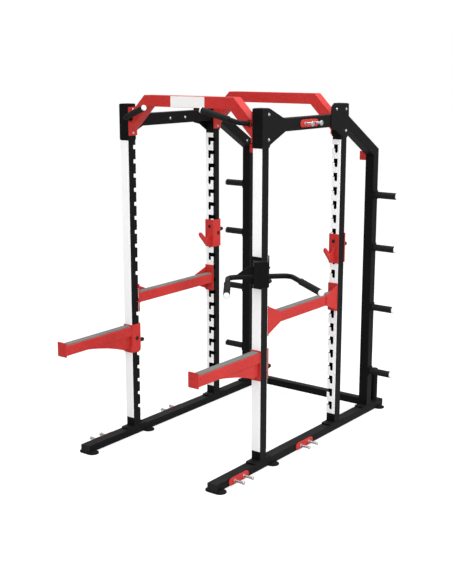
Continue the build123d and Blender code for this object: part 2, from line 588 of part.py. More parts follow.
for k in (8, 9):
    z = slot_bottom(k) + 11
    b_st += [stud(YF1, -1, z, YF1 + BRK_CL), stud(YR0, 1, z, YR0 - BRK_CL)]
save("safety_bar_right_studs", b_st)
save("safety_bar_left_studs", [mirror_x(s) for s in b_st])

# dip station on the right front upright
DP_Z0, DP_Z1 = 1279.0, 1489.0
du = ubracket(YF0, YF1, DP_Z0, DP_Z1, "rear")
ds_, dl_ = slot_bottom(12), slot_bottom(11)
DP_PIN = dl_ + 16.0
DZ = 1372.0
R2 = math.sqrt(0.5)
Dv, Nv = Vector(R2, R2, 0), Vector(R2, -R2, 0)
base_c = Vector(XO, YF0, DZ) + Nv * 40 - Dv * 20
DIP_HALF = 195.0
A = base_c - Dv * DIP_HALF
B = base_c + Dv * DIP_HALF
TA = A + Nv * 530 - Dv * 92
TB = B + Nv * 530 + Dv * 92
A2, B2 = A - Dv * 8, B + Dv * 8
a_dir, b_dir = (TA - A2).normalized(), (TB - B2).normalized()
tip_a, tip_b = TA - a_dir * 12, TB - b_dir * 12
dip_path = FilletPolyline(tuple(tip_a), tuple(A2), tuple(B2), tuple(tip_b), radius=62.0)
dip_tube = sweep(Plane(origin=tip_a, z_dir=(A2 - tip_a)) * Circle(17.0), path=dip_path)
# saddle plate between the bracket and the base tube, above and below it
front_y = YF0 - BRK_CL - BRK_T
web_poly = [(XI + 8, front_y), (XO + 3, front_y), tuple(base_c - Dv * 10)[:2], tuple(base_c - Dv * 88)[:2]]
sad = []
for z0, z1 in ((DZ + 10, DZ + 18), (DZ - 18, DZ - 10)):
    sad.append(prism([(x, y, z0) for x, y in web_poly], (0, 0, 1), z1 - z0))
# box hub across the corner of the upright: the base tube runs through it behind a diagonal plate
def diag(k, n, z):
    """Point k along the base tube from its middle, n outwards from its axis, at height z."""
    return tuple(base_c + Dv * k + Nv * n + Vector(0, 0, z - DZ))


HUB_Z0, HUB_Z1 = 1300.0, 1470.0
hub = [prism([diag(-38, 14, HUB_Z0), diag(58, 14, HUB_Z0), diag(58, 20, HUB_Z0), diag(-38, 20, HUB_Z0)], (0, 0, 1), HUB_Z1 - HUB_Z0)]
for z0 in (HUB_Z0, HUB_Z1 - 6.0):
    hub.append(prism([(XI + 8, front_y, z0), (XO + 3, front_y, z0), diag(58, 15, z0), diag(-38, 15, z0)], (0, 0, 1), 6.0))
# tapered gussets above and below the tube, beside the hub
fin = []
for pts in (((-150, 13), (-75, 66), (-30, 66), (-30, 13)), ((-112, -13), (-58, -48), (-30, -48), (-30, -13))):
    fin.append(prism([diag(k, -3, DZ + z) for k, z in pts], (Nv.X, Nv.Y, 0), 6.0))
# cheek plate that closes the hub towards the gussets
fin.append(prism([diag(-38, -16, HUB_Z0), diag(-38, 16, HUB_Z0), diag(-32, 16, HUB_Z0), diag(-32, -16, HUB_Z0)], (0, 0, 1), HUB_Z1 - HUB_Z0))
outer_bx = bx(XI + 10, XO + 3, front_y - 44, front_y + 1, DZ - 15, DZ + 15)
dip = du + [dip_tube] + sad + hub + fin + [outer_bx]
# keep the space of the upright clear
dip = dip - bx(XI - BRK_CL, XO + 60, YF0 - BRK_CL, YF1 + BRK_CL, DP_Z0 - 60, DP_Z1 + 60)
dip = dip - pin_hole(YF1, DP_PIN)
dip = dip + pin_barrel(YF1, DP_PIN)
print("dip station solids", len(dip.solids()))
save("dip_station", dip)
sleeves, dcaps = [], []
for P2, T, d in ((A2, tip_a, a_dir), (B2, tip_b, b_dir)):
    start = T - d * 330
    sl = rod(start, T, 20.5) - rod(start - d, T + d, 17.05)
    sl = fillet(sl.edges().filter_by(GeomType.CIRCLE).sort_by(lambda e: -e.radius)[:2], 1.5)
    sleeves.append(sl)
    dcaps.append(dome_cap(T, d, 19.0, 12.0, 0))
save("dip_grip_sleeves", sleeves)
save("dip_grip_caps", dcaps)
d_stud = stud(YF1, -1, ds_ + 11, YF1 + BRK_CL)
nut = cyl("y", 13.0, YF1 + BRK_CL + FLG_T, YF1 + BRK_CL + FLG_T + 12, XC, ds_ + 7)
nut = nut + cyl("y", 8.0, YF1 + BRK_CL + FLG_T + 11, YF1 + BRK_CL + FLG_T + 56, XC, ds_ + 7)
save("dip_station_hardware", [d_stud, nut])
d_pin = lock_pin(YF1, DP_PIN, LINER + UP_WALL + 3)
save("dip_station_lock_pin", d_pin)
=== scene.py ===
import bpy
import bmesh
import json
import math
import random
from mathutils import Matrix, Vector


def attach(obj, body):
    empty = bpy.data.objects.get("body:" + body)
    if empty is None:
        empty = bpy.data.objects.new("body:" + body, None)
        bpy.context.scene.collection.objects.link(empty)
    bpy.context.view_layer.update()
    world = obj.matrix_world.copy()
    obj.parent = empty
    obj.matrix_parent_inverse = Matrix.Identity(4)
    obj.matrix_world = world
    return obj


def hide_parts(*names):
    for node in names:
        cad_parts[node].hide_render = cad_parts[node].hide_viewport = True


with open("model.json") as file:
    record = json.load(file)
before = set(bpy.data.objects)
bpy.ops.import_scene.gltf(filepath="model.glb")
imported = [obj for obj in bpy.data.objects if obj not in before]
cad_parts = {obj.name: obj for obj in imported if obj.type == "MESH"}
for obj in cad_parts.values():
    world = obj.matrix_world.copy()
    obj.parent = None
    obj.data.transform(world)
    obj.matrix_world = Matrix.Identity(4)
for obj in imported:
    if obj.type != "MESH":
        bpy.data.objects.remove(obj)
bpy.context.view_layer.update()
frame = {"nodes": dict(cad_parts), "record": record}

N = frame["nodes"]
random.seed(7)

# ------------------------------------------------------------------ camera, floor, light
cam_data = bpy.data.cameras.new("photo_camera")
cam_data.sensor_fit = "AUTO"
cam_data.sensor_width = 36.0
cam_data.lens = 63.97
cam_data.clip_start, cam_data.clip_end = 0.1, 60.0
cam = bpy.data.objects.new("photo_camera", cam_data)
bpy.context.scene.collection.objects.link(cam)
cam.location = (4.3718, -5.8985, 2.7176)
cam.rotation_euler = (math.radians(90.0 - 12.677), 0.0, math.radians(37.006))
bpy.context.scene.camera = cam
bpy.context.scene.view_settings.view_transform = "Standard"


def nodes_of(mat):
    mat.use_nodes = True
    nt = mat.node_tree
    for n in list(nt.nodes):
        nt.nodes.remove(n)
    return nt


def new(nt, kind, **props):
    n = nt.nodes.new(kind)
    for k, v in props.items():
        setattr(n, k, v)
    return n


# the studio floor: white where it is looked at, greyer where the painted steel mirrors it
floor_mesh = bpy.data.meshes.new("studio_floor")
bm = bmesh.new()
bmesh.ops.create_circle(bm, cap_ends=True, radius=26.0, segments=96)
bm.to_mesh(floor_mesh)
bm.free()
floor = bpy.data.objects.new("studio_floor", floor_mesh)
bpy.context.scene.collection.objects.link(floor)
floor.location = (0.0, 0.0, -0.0005)
fmat = bpy.data.materials.new("studio_floor")
nt = nodes_of(fmat)
out = new(nt, "ShaderNodeOutputMaterial")
lp = new(nt, "ShaderNodeLightPath")
seen = new(nt, "ShaderNodeBsdfDiffuse")
seen.inputs["Color"].default_value = (0.34, 0.34, 0.34, 1)
glow = new(nt, "ShaderNodeEmission")
glow.inputs["Color"].default_value = (1, 1, 1, 1)
glow.inputs["Strength"].default_value = 0.80
lit = new(nt, "ShaderNodeAddShader")
nt.links.new(seen.outputs[0], lit.inputs[0])
nt.links.new(glow.outputs[0], lit.inputs[1])
dim = new(nt, "ShaderNodeBsdfDiffuse")
dim.inputs["Color"].default_value = (0.50, 0.50, 0.50, 1)
mixs = new(nt, "ShaderNodeMixShader")
nt.links.new(lp.outputs["Is Camera Ray"], mixs.inputs[0])
nt.links.new(dim.outputs[0], mixs.inputs[1])
nt.links.new(lit.outputs[0], mixs.inputs[2])
nt.links.new(mixs.outputs[0], out.inputs["Surface"])
floor_mesh.materials.append(fmat)

world = bpy.data.worlds.new("studio")
bpy.context.scene.world = world
world.use_nodes = True
nt = world.node_tree
for n in list(nt.nodes):
    nt.nodes.remove(n)
wout = new(nt, "ShaderNodeOutputWorld")
lp = new(nt, "ShaderNodeLightPath")
bg_seen = new(nt, "ShaderNodeBackground")
bg_seen.inputs["Color"].default_value = (1, 1, 1, 1)
bg_seen.inputs["Strength"].default_value = 1.0
bg_lit = new(nt, "ShaderNodeBackground")
# the light is brighter from above and from the +X side than from the front
tc = new(nt, "ShaderNodeTexCoord")
sep = new(nt, "ShaderNodeSeparateXYZ")
nt.links.new(tc.outputs["Generated"], sep.inputs[0])


def madd(nt, a, mul, add):
    m = new(nt, "ShaderNodeMath", operation="MULTIPLY_ADD")
    nt.links.new(a, m.inputs[0])
    m.inputs[1].default_value = mul
    m.inputs[2].default_value = add
    return m.outputs[0]


def clamp0(nt, a):
    m = new(nt, "ShaderNodeMath", operation="MAXIMUM")
    nt.links.new(a, m.inputs[0])
    m.inputs[1].default_value = 0.0
    return m.outputs[0]


def add2(nt, a, b):
    m = new(nt, "ShaderNodeMath", operation="ADD")
    nt.links.new(a, m.inputs[0])
    nt.links.new(b, m.inputs[1])
    return m.outputs[0]


sx = clamp0(nt, madd(nt, sep.outputs["X"], 0.62, 0.0))
sy = clamp0(nt, madd(nt, sep.outputs["Y"], -0.10, 0.0))
sz = clamp0(nt, madd(nt, sep.outputs["Z"], 0.35, 0.0))
tot = add2(nt, add2(nt, sx, sy), madd(nt, sz, 1.0, 0.46))
nt.links.new(tot, bg_lit.inputs["Strength"])
wm = new(nt, "ShaderNodeMixShader")
nt.links.new(lp.outputs["Is Camera Ray"], wm.inputs[0])
nt.links.new(bg_lit.outputs[0], wm.inputs[1])
nt.links.new(bg_seen.outputs[0], wm.inputs[2])
nt.links.new(wm.outputs[0], wout.inputs["Surface"])


def area(name, loc, target, size, power):
    d = bpy.data.lights.new(name, "AREA")
    d.shape = "RECTANGLE"
    d.size, d.size_y = size
    d.energy = power
    o = bpy.data.objects.new(name, d)
    bpy.context.scene.collection.objects.link(o)
    o.location = loc
    o.rotation_euler = (Vector(target) - Vector(loc)).to_track_quat("-Z", "Y").to_euler()
    return o


area("top_softbox", (0.6, 0.2, 6.2), (0, 0, 0), (7.0, 7.0), 330.0)
area("right_softbox", (6.5, 1.2, 3.2), (0.3, 0, 1.3), (3.0, 4.5), 190.0)
area("front_fill", (2.2, -7.6, 3.6), (0, 0, 1.2), (4.0, 3.0), 190.0)


# ------------------------------------------------------------------ materials
def coords(nt, scale=(1, 1, 1), rot=(0, 0, 0)):
    tc = new(nt, "ShaderNodeTexCoord")
    mp = new(nt, "ShaderNodeMapping")
    mp.inputs["Scale"].default_value = scale
    mp.inputs["Rotation"].default_value = rot
    nt.links.new(tc.outputs["Object"], mp.inputs[0])
    return mp.outputs[0]


def noise(nt, vec, scale, detail=4.0, rough=0.5, dist=0.0):
    n = new(nt, "ShaderNodeTexNoise")
    n.inputs["Scale"].default_value = scale
    n.inputs["Detail"].default_value = detail
    n.inputs["Roughness"].default_value = rough
    n.inputs["Distortion"].default_value = dist
    nt.links.new(vec, n.inputs["Vector"])
    return n.outputs["Fac"]


def ramp(nt, fac, lo, hi, v0=0.0, v1=1.0):
    m = new(nt, "ShaderNodeMapRange")
    m.inputs["From Min"].default_value = lo
    m.inputs["From Max"].default_value = hi
    m.inputs["To Min"].default_value = v0
    m.inputs["To Max"].default_value = v1
    nt.links.new(fac, m.inputs["Value"])
    return m.outputs[0]


def mul(nt, a, b):
    m = new(nt, "ShaderNodeMath", operation="MULTIPLY")
    nt.links.new(a, m.inputs[0])
    if isinstance(b, (int, float)):
        m.inputs[1].default_value = b
    else:
        nt.links.new(b, m.inputs[1])
    return m.outputs[0]


def mixc(nt, fac, a, b):
    m = new(nt, "ShaderNodeMix", data_type="RGBA")
    nt.links.new(fac, m.inputs[0])
    for sock, v in ((6, a), (7, b)):
        if isinstance(v, tuple):
            m.inputs[sock].default_value = (*v, 1) if len(v) == 3 else v
        else:
            nt.links.new(v, m.inputs[sock])
    return m.outputs[2]


def edge_mask(nt, radius, lo=0.02, hi=0.35):
    """1 on sharp outer and inner edges, 0 on flats."""
    bv = new(nt, "ShaderNodeBevel", samples=6)
    bv.inputs["Radius"].default_value = radius
    ge = new(nt, "ShaderNodeNewGeometry")
    dp = new(nt, "ShaderNodeVectorMath", operation="DOT_PRODUCT")
    nt.links.new(bv.outputs[0], dp.inputs[0])
    nt.links.new(ge.outputs["Normal"], dp.inputs[1])
    one = new(nt, "ShaderNodeMath", operation="SUBTRACT")
    one.inputs[0].default_value = 1.0
    nt.links.new(dp.outputs["Value"], one.inputs[1])
    return ramp(nt, one.outputs[0], lo, hi), bv.outputs[0]


def bump(nt, height, strength, distance, normal=None):
    b = new(nt, "ShaderNodeBump")
    b.inputs["Strength"].default_value = strength
    b.inputs["Distance"].default_value = distance
    nt.links.new(height, b.inputs["Height"])
    if normal is not None:
        nt.links.new(normal, b.inputs["Normal"])
    return b.outputs[0]


def principled(nt, **vals):
    p = new(nt, "ShaderNodeBsdfPrincipled")
    o = new(nt, "ShaderNodeOutputMaterial")
    nt.links.new(p.outputs[0], o.inputs["Surface"])
    for k, v in vals.items():
        p.inputs[k.replace("_", " ")].default_value = v
    return p


def powder_coat(name, base, light, dark, rough, spec, wear, wear_amt, dust_amt=0.35):
    """Powder-coated steel: orange peel, soft cloudy gloss, dust on top faces, thin wear along edges, a few fine rubs."""
    mat = bpy.data.materials.new(name)
    nt = nodes_of(mat)
    p = principled(nt)
    p.inputs["Specular IOR Level"].default_value = spec
    v = coords(nt)
    cloud = noise(nt, v, 3.1, 5, 0.6)
    fine = noise(nt, v, 55.0, 6, 0.62)
    peel = noise(nt, v, 640.0, 3, 0.55)
    grit = noise(nt, v, 2100.0, 2, 0.5)
    c1 = mixc(nt, ramp(nt, cloud, 0.30, 0.72), tuple(dark), tuple(base))
    c2 = mixc(nt, mul(nt, ramp(nt, fine, 0.42, 0.80), 0.55), c1, tuple(light))
    # dust settles on faces that look up
    ge = new(nt, "ShaderNodeNewGeometry")
    sp = new(nt, "ShaderNodeSeparateXYZ")
    nt.links.new(ge.outputs["Normal"], sp.inputs[0])
    dust = mul(nt, ramp(nt, sp.outputs["Z"], 0.55, 0.98), ramp(nt, noise(nt, v, 9.0, 6, 0.7), 0.35, 0.75, 0.02, 0.10))
    c3 = mixc(nt, mul(nt, dust, dust_amt), c2, (0.42, 0.40, 0.38))
    mask, nrm = edge_mask(nt, 0.0022)
    worn = mul(nt, mul(nt, mask, ramp(nt, noise(nt, v, 38.0, 6, 0.7), 0.44, 0.70)), wear_amt)
    c4 = mixc(nt, worn, c3, tuple(wear))
    nt.links.new(c4, p.inputs["Base Color"])
    # long fine rubs, stretched along Z and Y
    rub1 = ramp(nt, noise(nt, coords(nt, (260, 260, 6)), 1.0, 4, 0.6), 0.62, 0.74)
    rub2 = ramp(nt, noise(nt, coords(nt, (240, 5, 240)), 1.0, 4, 0.6), 0.64, 0.76)
    rubs = add2(nt, mul(nt, rub1, 0.05), mul(nt, rub2, 0.05))
    r = add2(nt, ramp(nt, cloud, 0.25, 0.75, rough - 0.05, rough + 0.06), ramp(nt, fine, 0.3, 0.8, -0.02, 0.05))
    r = add2(nt, r, mul(nt, worn, 0.10))
    r = add2(nt, r, rubs)
    nt.links.new(r, p.inputs["Roughness"])
    n1 = bump(nt, peel, 0.22, 0.00018, nrm)
    n2 = bump(nt, grit, 0.08, 0.00006, n1)
    nt.links.new(n2, p.inputs["Normal"])
    return mat


def plastic(name, base, dark, rough, spec, scratch=0.4, scuff=(0.5, 0.5, 0.5), scuff_amt=0.15, axis="z", peel_scale=900.0):
    """Moulded or sawn plastic: faint mottling, run-of-sheet scratches, scuffs near edges."""
    mat = bpy.data.materials.new(name)
    nt = nodes_of(mat)
    p = principled(nt)
    p.inputs["Specular IOR Level"].default_value = spec
    v = coords(nt)
    cloud = noise(nt, v, 6.0, 5, 0.6)
    c1 = mixc(nt, ramp(nt, cloud, 0.3, 0.75), tuple(dark), tuple(base))
    stretch = {"z": (420, 420, 9), "y": (420, 9, 420), "x": (9, 420, 420)}[axis]
    lines = noise(nt, coords(nt, stretch), 1.0, 4, 0.65)
    scr = ramp(nt, lines, 0.58, 0.72)
    mask, nrm = edge_mask(nt, 0.0014)
    sc = add2(nt, mul(nt, mask, scuff_amt), mul(nt, ramp(nt, noise(nt, v, 24.0, 7, 0.72, 0.6), 0.58, 0.80), scuff_amt * 0.6))
    c2 = mixc(nt, sc, c1, tuple(scuff))
    nt.links.new(c2, p.inputs["Base Color"])
    r = add2(nt, ramp(nt, cloud, 0.2, 0.8, rough - 0.05, rough + 0.08), mul(nt, scr, 0.12))
    nt.links.new(r, p.inputs["Roughness"])
    h = noise(nt, v, peel_scale, 3, 0.5)
    n1 = bump(nt, h, 0.15, 0.00012, nrm)
    n2 = bump(nt, lines, scratch * 0.25, 0.00012, n1)
    nt.links.new(n2, p.inputs["Normal"])
    return mat


def rubber(name, base, light, rough, rib_scale=None):
    """Textured rubber with a fine pebble and dusty bloom; the rib_scale argument is not used."""
    mat = bpy.data.materials.new(name)
    nt = nodes_of(mat)
    p = principled(nt)
    p.inputs["Specular IOR Level"].default_value = 0.10
    p.inputs["Sheen Weight"].default_value = 0.015
    v = coords(nt)
    cloud = noise(nt, v, 14.0, 5, 0.65)
    c1 = mixc(nt, ramp(nt, cloud, 0.35, 0.75), tuple(base), tuple(light))
    mask, nrm = edge_mask(nt, 0.002)
    c2 = mixc(nt, mul(nt, mask, 0.25), c1, (0.05, 0.05, 0.05))
    nt.links.new(c2, p.inputs["Base Color"])
    nt.links.new(ramp(nt, cloud, 0.2, 0.8, rough - 0.08, rough + 0.08), p.inputs["Roughness"])
    vo = new(nt, "ShaderNodeTexVoronoi")
    vo.inputs["Scale"].default_value = 700.0
    nt.links.new(v, vo.inputs["Vector"])
    n1 = bump(nt, vo.outputs["Distance"], 0.35, 0.0003, nrm)
    n2 = bump(nt, noise(nt, v, 1500.0, 2, 0.5), 0.2, 0.0001, n1)
    nt.links.new(n2, p.inputs["Normal"])
    return mat


def metal(name, base, dark, rough, aniso_axis="x", scale=600.0):
    """Plated or bare steel: fine drawn lines, cloudy polish, darker tarnish in patches and along edges."""
    mat = bpy.data.materials.new(name)
    nt = nodes_of(mat)
    p = principled(nt)
    p.inputs["Metallic"].default_value = 1.0
    v = coords(nt)
    cloud = noise(nt, v, 30.0, 6, 0.6)
    mask, nrm = edge_mask(nt, 0.0009)
    c1 = mixc(nt, ramp(nt, cloud, 0.35, 0.8), tuple(base), tuple(dark))
    c2 = mixc(nt, mul(nt, mask, 0.3), c1, tuple(dark))
    nt.links.new(c2, p.inputs["Base Color"])
    stretch = {"z": (scale, scale, 20), "y": (scale, 20, scale), "x": (20, scale, scale)}[aniso_axis]
    lines = noise(nt, coords(nt, stretch), 1.0, 3, 0.6)
    r = add2(nt, ramp(nt, cloud, 0.3, 0.8, rough - 0.04, rough + 0.08), ramp(nt, lines, 0.4, 0.8, 0.0, 0.08))
    nt.links.new(r, p.inputs["Roughness"])
    nt.links.new(bump(nt, lines, 0.10, 0.00008, nrm), p.inputs["Normal"])
    return mat


BLACK = powder_coat("black_powder_coat", (0.0028, 0.0028, 0.0031), (0.0060, 0.0060, 0.0064), (0.0018, 0.0018, 0.0020), 0.46, 0.11, (0.10, 0.10, 0.105), 0.40)
RED = powder_coat("red_powder_coat", (0.53, 0.026, 0.022), (0.60, 0.052, 0.046), (0.44, 0.018, 0.016), 0.45, 0.24, (0.46, 0.30, 0.28), 0.40)
WHITE = plastic("white_liner_plastic", (0.975, 0.975, 0.98), (0.94, 0.94, 0.95), 0.42, 0.45, 0.5, (0.66, 0.66, 0.66), 0.08, "z")
PLATE = plastic("white_nameplate", (0.86, 0.85, 0.84), (0.81, 0.80, 0.79), 0.35, 0.4, 0.3, (0.6, 0.6, 0.6), 0.08, "x")
CAPW = plastic("white_cap_plastic", (0.84, 0.84, 0.84), (0.78, 0.78, 0.78), 0.38, 0.4, 0.2, (0.5, 0.5, 0.5), 0.12, "x")
PAD = plastic("grey_wear_pad", (0.185, 0.19, 0.18), (0.145, 0.15, 0.145), 0.62, 0.22, 1.0, (0.10, 0.10, 0.10), 0.22, "y")
KNOB = plastic("black_moulded_plastic", (0.0065, 0.0065, 0.007), (0.004, 0.004, 0.0043), 0.48, 0.22, 0.2, (0.05, 0.05, 0.05), 0.22, "x")
HORN = plastic("black_horn_sleeve", (0.007, 0.007, 0.0075), (0.004, 0.004, 0.0045), 0.5, 0.22, 1.0, (0.05, 0.05, 0.05), 0.25, "x")
RUBBER = rubber("black_rubber", (0.0045, 0.0045, 0.005), (0.010, 0.010, 0.0105), 0.78)
GRIP = rubber("black_grip_rubber", (0.0075, 0.008, 0.0082), (0.016, 0.017, 0.017), 0.66)
CHROME = metal("chrome_peg", (0.70, 0.70, 0.715), (0.45, 0.45, 0.46), 0.24, "x")
ZINC = metal("zinc_hardware", (0.62, 0.62, 0.63), (0.40, 0.40, 0.41), 0.30, "z")

BOLT_DARK = metal("black_oxide_steel", (0.045, 0.045, 0.048), (0.02, 0.02, 0.022), 0.42, "z")


def lock_pin(name, split):
    """Spring lock pin: plated steel up to the plane Y = split, black moulded plastic beyond it."""
    mat = bpy.data.materials.new(name)
    nt = nodes_of(mat)
    p = principled(nt)
    v = coords(nt)
    tc = new(nt, "ShaderNodeTexCoord")
    sp = new(nt, "ShaderNodeSeparateXYZ")
    nt.links.new(tc.outputs["Object"], sp.inputs[0])
    knob = ramp(nt, sp.outputs["Y"], split - 0.0004, split + 0.0004)
    cloud = noise(nt, v, 60.0, 5, 0.6)
    steel = mixc(nt, cloud, (0.66, 0.66, 0.67), (0.42, 0.42, 0.43))
    plas = mixc(nt, cloud, (0.013, 0.013, 0.014), (0.008, 0.008, 0.008))
    nt.links.new(mixc(nt, knob, steel, plas), p.inputs["Base Color"])
    inv = new(nt, "ShaderNodeMath", operation="SUBTRACT")
    inv.inputs[0].default_value = 1.0
    nt.links.new(knob, inv.inputs[1])
    nt.links.new(inv.outputs[0], p.inputs["Metallic"])
    nt.links.new(add2(nt, ramp(nt, cloud, 0.3, 0.8, 0.24, 0.32), mul(nt, knob, 0.2)), p.inputs["Roughness"])
    nt.links.new(bump(nt, noise(nt, v, 1400.0, 2, 0.5), 0.12, 0.00008), p.inputs["Normal"])
    return mat


PIN_REAR = lock_pin("lock_pin_rear", 0.5712)
PIN_FRONT = lock_pin("lock_pin_front", -0.3908)

SLOT_MATS = {
    "black_powder_coat": BLACK, "red_powder_coat": RED, "white_plastic": WHITE, "grey_wear_pad": PAD,
    "black_rubber": RUBBER, "black_plastic": KNOB, "chrome_pegs": CHROME, "zinc_hardware": ZINC,
}
BY_NODE = {
    "blank_nameplate": PLATE, "pull_up_grip_caps": CAPW, "dip_grip_caps": CAPW, "weight_horn_caps": CAPW,
    "base_bolts": BOLT_DARK, "weight_horn_bolts": BOLT_DARK, "dip_station_hardware": BOLT_DARK, "dip_station_lock_pin": PIN_FRONT,
    "pull_up_grip_sleeves": GRIP, "dip_grip_sleeves": GRIP, "weight_horn_sleeves": HORN,
}
for side in ("right", "left"):
    for who in ("j_cup", "spotter_arm"):
        BY_NODE[f"{who}_{side}_hardware"] = BOLT_DARK
        BY_NODE[f"{who}_{side}_lock_pin"] = PIN_REAR if who == "j_cup" else PIN_FRONT
slot_of = {s["node"]: s["material_slot"] for s in frame["record"]["subparts"]}
for name, o in N.items():
    mat = BY_NODE.get(name, SLOT_MATS[slot_of[name]])
    if not o.material_slots:
        o.data.materials.append(mat)
    for s in o.material_slots:
        s.material = mat

# ------------------------------------------------------------------ detail pieces
MM = 0.001
DATUM = 20.0        # part heights below are drawn from a datum 20 mm under the floor


def V(x, y, z):
    return Vector((x * MM, y * MM, (z - DATUM) * MM))


def piece(name, bm, body, mat, smooth=True):
    bmesh.ops.recalc_face_normals(bm, faces=bm.faces)
    me = bpy.data.meshes.new(name)
    bm.to_mesh(me)
    bm.free()
    for p in me.polygons:
        p.use_smooth = smooth
    o = bpy.data.objects.new(name, me)
    bpy.context.scene.collection.objects.link(o)
    me.materials.append(mat)
    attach(o, body)
    return o


def axes_for(d):
    d = d.normalized()
    a = Vector((0, 0, 1)) if abs(d.z) < 0.9 else Vector((1, 0, 0))
    u = d.cross(a).normalized()
    return u, d.cross(u).normalized()


def resample(pts, step, closed):
    """Points along straight runs, about `step` apart."""
    out = []
    n = len(pts)
    for i in range(n if closed else n - 1):
        a, b = pts[i], pts[(i + 1) % n]
        k = max(2, int((b - a).length / step))
        for j in range(k):
            out.append(a.lerp(b, j / k))
    if not closed:
        out.append(pts[-1].copy())
    return out


def weld(bm, pts, r=2.6, closed=False, step=1.7):
    """Stacked-coin weld bead along a path; half of it is sunk in the corner that it fills."""
    P = resample(pts, step * MM, closed)
    n = len(P)
    if n < 4:
        return
    rings, seg = [], 8
    for i, c in enumerate(P):
        a, b = P[(i - 1) % n if closed else max(i - 1, 0)], P[(i + 1) % n if closed else min(i + 1, n - 1)]
        u, w = axes_for(b - a)
        s = i * step
        ripple = 0.84 + 0.20 * abs(math.sin(math.pi * s / 5.1)) + random.uniform(-0.03, 0.03)
        if not closed:
            ripple *= min(1.0, 0.35 + 0.35 * min(i, n - 1 - i))
        rr = r * MM * ripple
        rings.append([bm.verts.new(c + (u * math.cos(t) + w * math.sin(t)) * rr) for t in (2 * math.pi * k / seg for k in range(seg))])
    for i in range(n if closed else n - 1):
        A, B = rings[i], rings[(i + 1) % n]
        # keep the two rings in step where the path turns
        best = min(range(seg), key=lambda o_: (A[0].co - B[o_].co).length)
        for k in range(seg):
            bm.faces.new((A[k], A[(k + 1) % seg], B[(k + 1 + best) % seg], B[(k + best) % seg]))
    if not closed:
        bm.faces.new(rings[0])
        bm.faces.new(rings[-1])


def rect_x(x, y0, y1, z0, z1):
    return [V(x, y0, z0), V(x, y1, z0), V(x, y1, z1), V(x, y0, z1)]


def rect_y(y, x0, x1, z0, z1):
    return [V(x0, y, z0), V(x1, y, z0), V(x1, y, z1), V(x0, y, z1)]


def rect_z(z, x0, x1, y0, y1):
    return [V(x0, y0, z), V(x1, y0, z), V(x1, y1, z), V(x0, y1, z)]


def circle(c, d, r, n=40):
    u, w = axes_for(d)
    return [c + (u * math.cos(2 * math.pi * k / n) + w * math.sin(2 * math.pi * k / n)) * (r * MM) for k in range(n)]


def lathe(bm, origin, d, prof, seg=28, shape=None):
    """Turned solid: prof is a list of (distance along d, radius) in mm; shape(k, angle) may scale the radius."""
    d = d.normalized()
    u, w = axes_for(d)
    rings = []
    for k, (s, r) in enumerate(prof):
        if r < 1e-6:
            rings.append([bm.verts.new(origin + d * (s * MM))])
            continue
        ring = []
        for j in range(seg):
            t = 2 * math.pi * j / seg
            f = shape(k, t) if shape else 1.0
            ring.append(bm.verts.new(origin + d * (s * MM) + (u * math.cos(t) + w * math.sin(t)) * (r * f * MM)))
        rings.append(ring)
    for A, B in zip(rings, rings[1:]):
        for j in range(seg):
            k = (j + 1) % seg
            if len(A) == 1 and len(B) == 1:
                continue
            if len(A) == 1:
                bm.faces.new((A[0], B[j], B[k]))
            elif len(B) == 1:
                bm.faces.new((A[j], A[k], B[0]))
            else:
                bm.faces.new((A[j], A[k], B[k], B[j]))
    for R in (rings[0], rings[-1]):
        if len(R) > 1:
            bm.faces.new(R)


def hexf(t):
    """Radius factor of a hexagon with corner radius 1."""
    a = (t % (math.pi / 3)) - math.pi / 6
    return math.cos(math.pi / 6) / math.cos(a)


def socket_bolt(bm, origin, d, r, h, wr):
    """Washer with a turned edge and a button head with a hexagon socket."""
    prof = [(0, wr - 0.5), (0.5, wr), (1.15, wr), (1.6, wr - 0.45), (1.6, r - 0.1), (1.75, r), (1.6 + h * 0.35, r * 0.985), (1.6 + h * 0.66, r * 0.90),
            (1.6 + h * 0.88, r * 0.76), (1.6 + h * 0.98, r * 0.64), (1.6 + h, r * 0.56), (1.6 + h * 0.99, r * 0.50), (1.6 + h * 0.92, r * 0.47),
            (1.6 + h * 0.36, r * 0.46), (1.6 + h * 0.30, r * 0.30), (1.6 + h * 0.28, 0)]
    lathe(bm, origin, d, prof, 36, lambda k, t: hexf(t) if k >= 12 else 1.0)


def hex_bolt(bm, origin, d, r, h, wr):
    """Washer and a plain hexagon head with a turned chamfer."""
    prof = [(0, wr - 0.5), (0.5, wr), (1.15, wr), (1.6, wr - 0.45), (1.6, r), (1.8, r), (1.6 + h * 0.86, r), (1.6 + h, r * 0.86), (1.6 + h, 0)]
    lathe(bm, origin, d, prof, 36, lambda k, t: hexf(t) if 4 <= k <= 6 else (0.5 + 0.5 * hexf(t) if k == 7 else 1.0))


RX, XO, XI, XC = 565.0, 603.0, 531.0, 567.0
YF0, YF1, YR0, YR1 = -521.0, -441.0, 441.0, 521.0
BASE_Z, RUN_Z0, RUN_Z1 = 94.0, 30.0, 84.0
S0, S1, SC = 925.0, 995.0, 960.0
XE = 516.0
X1, Y1, Z1_ = Vector((1, 0, 0)), Vector((0, 1, 0)), Vector((0, 0, 1))

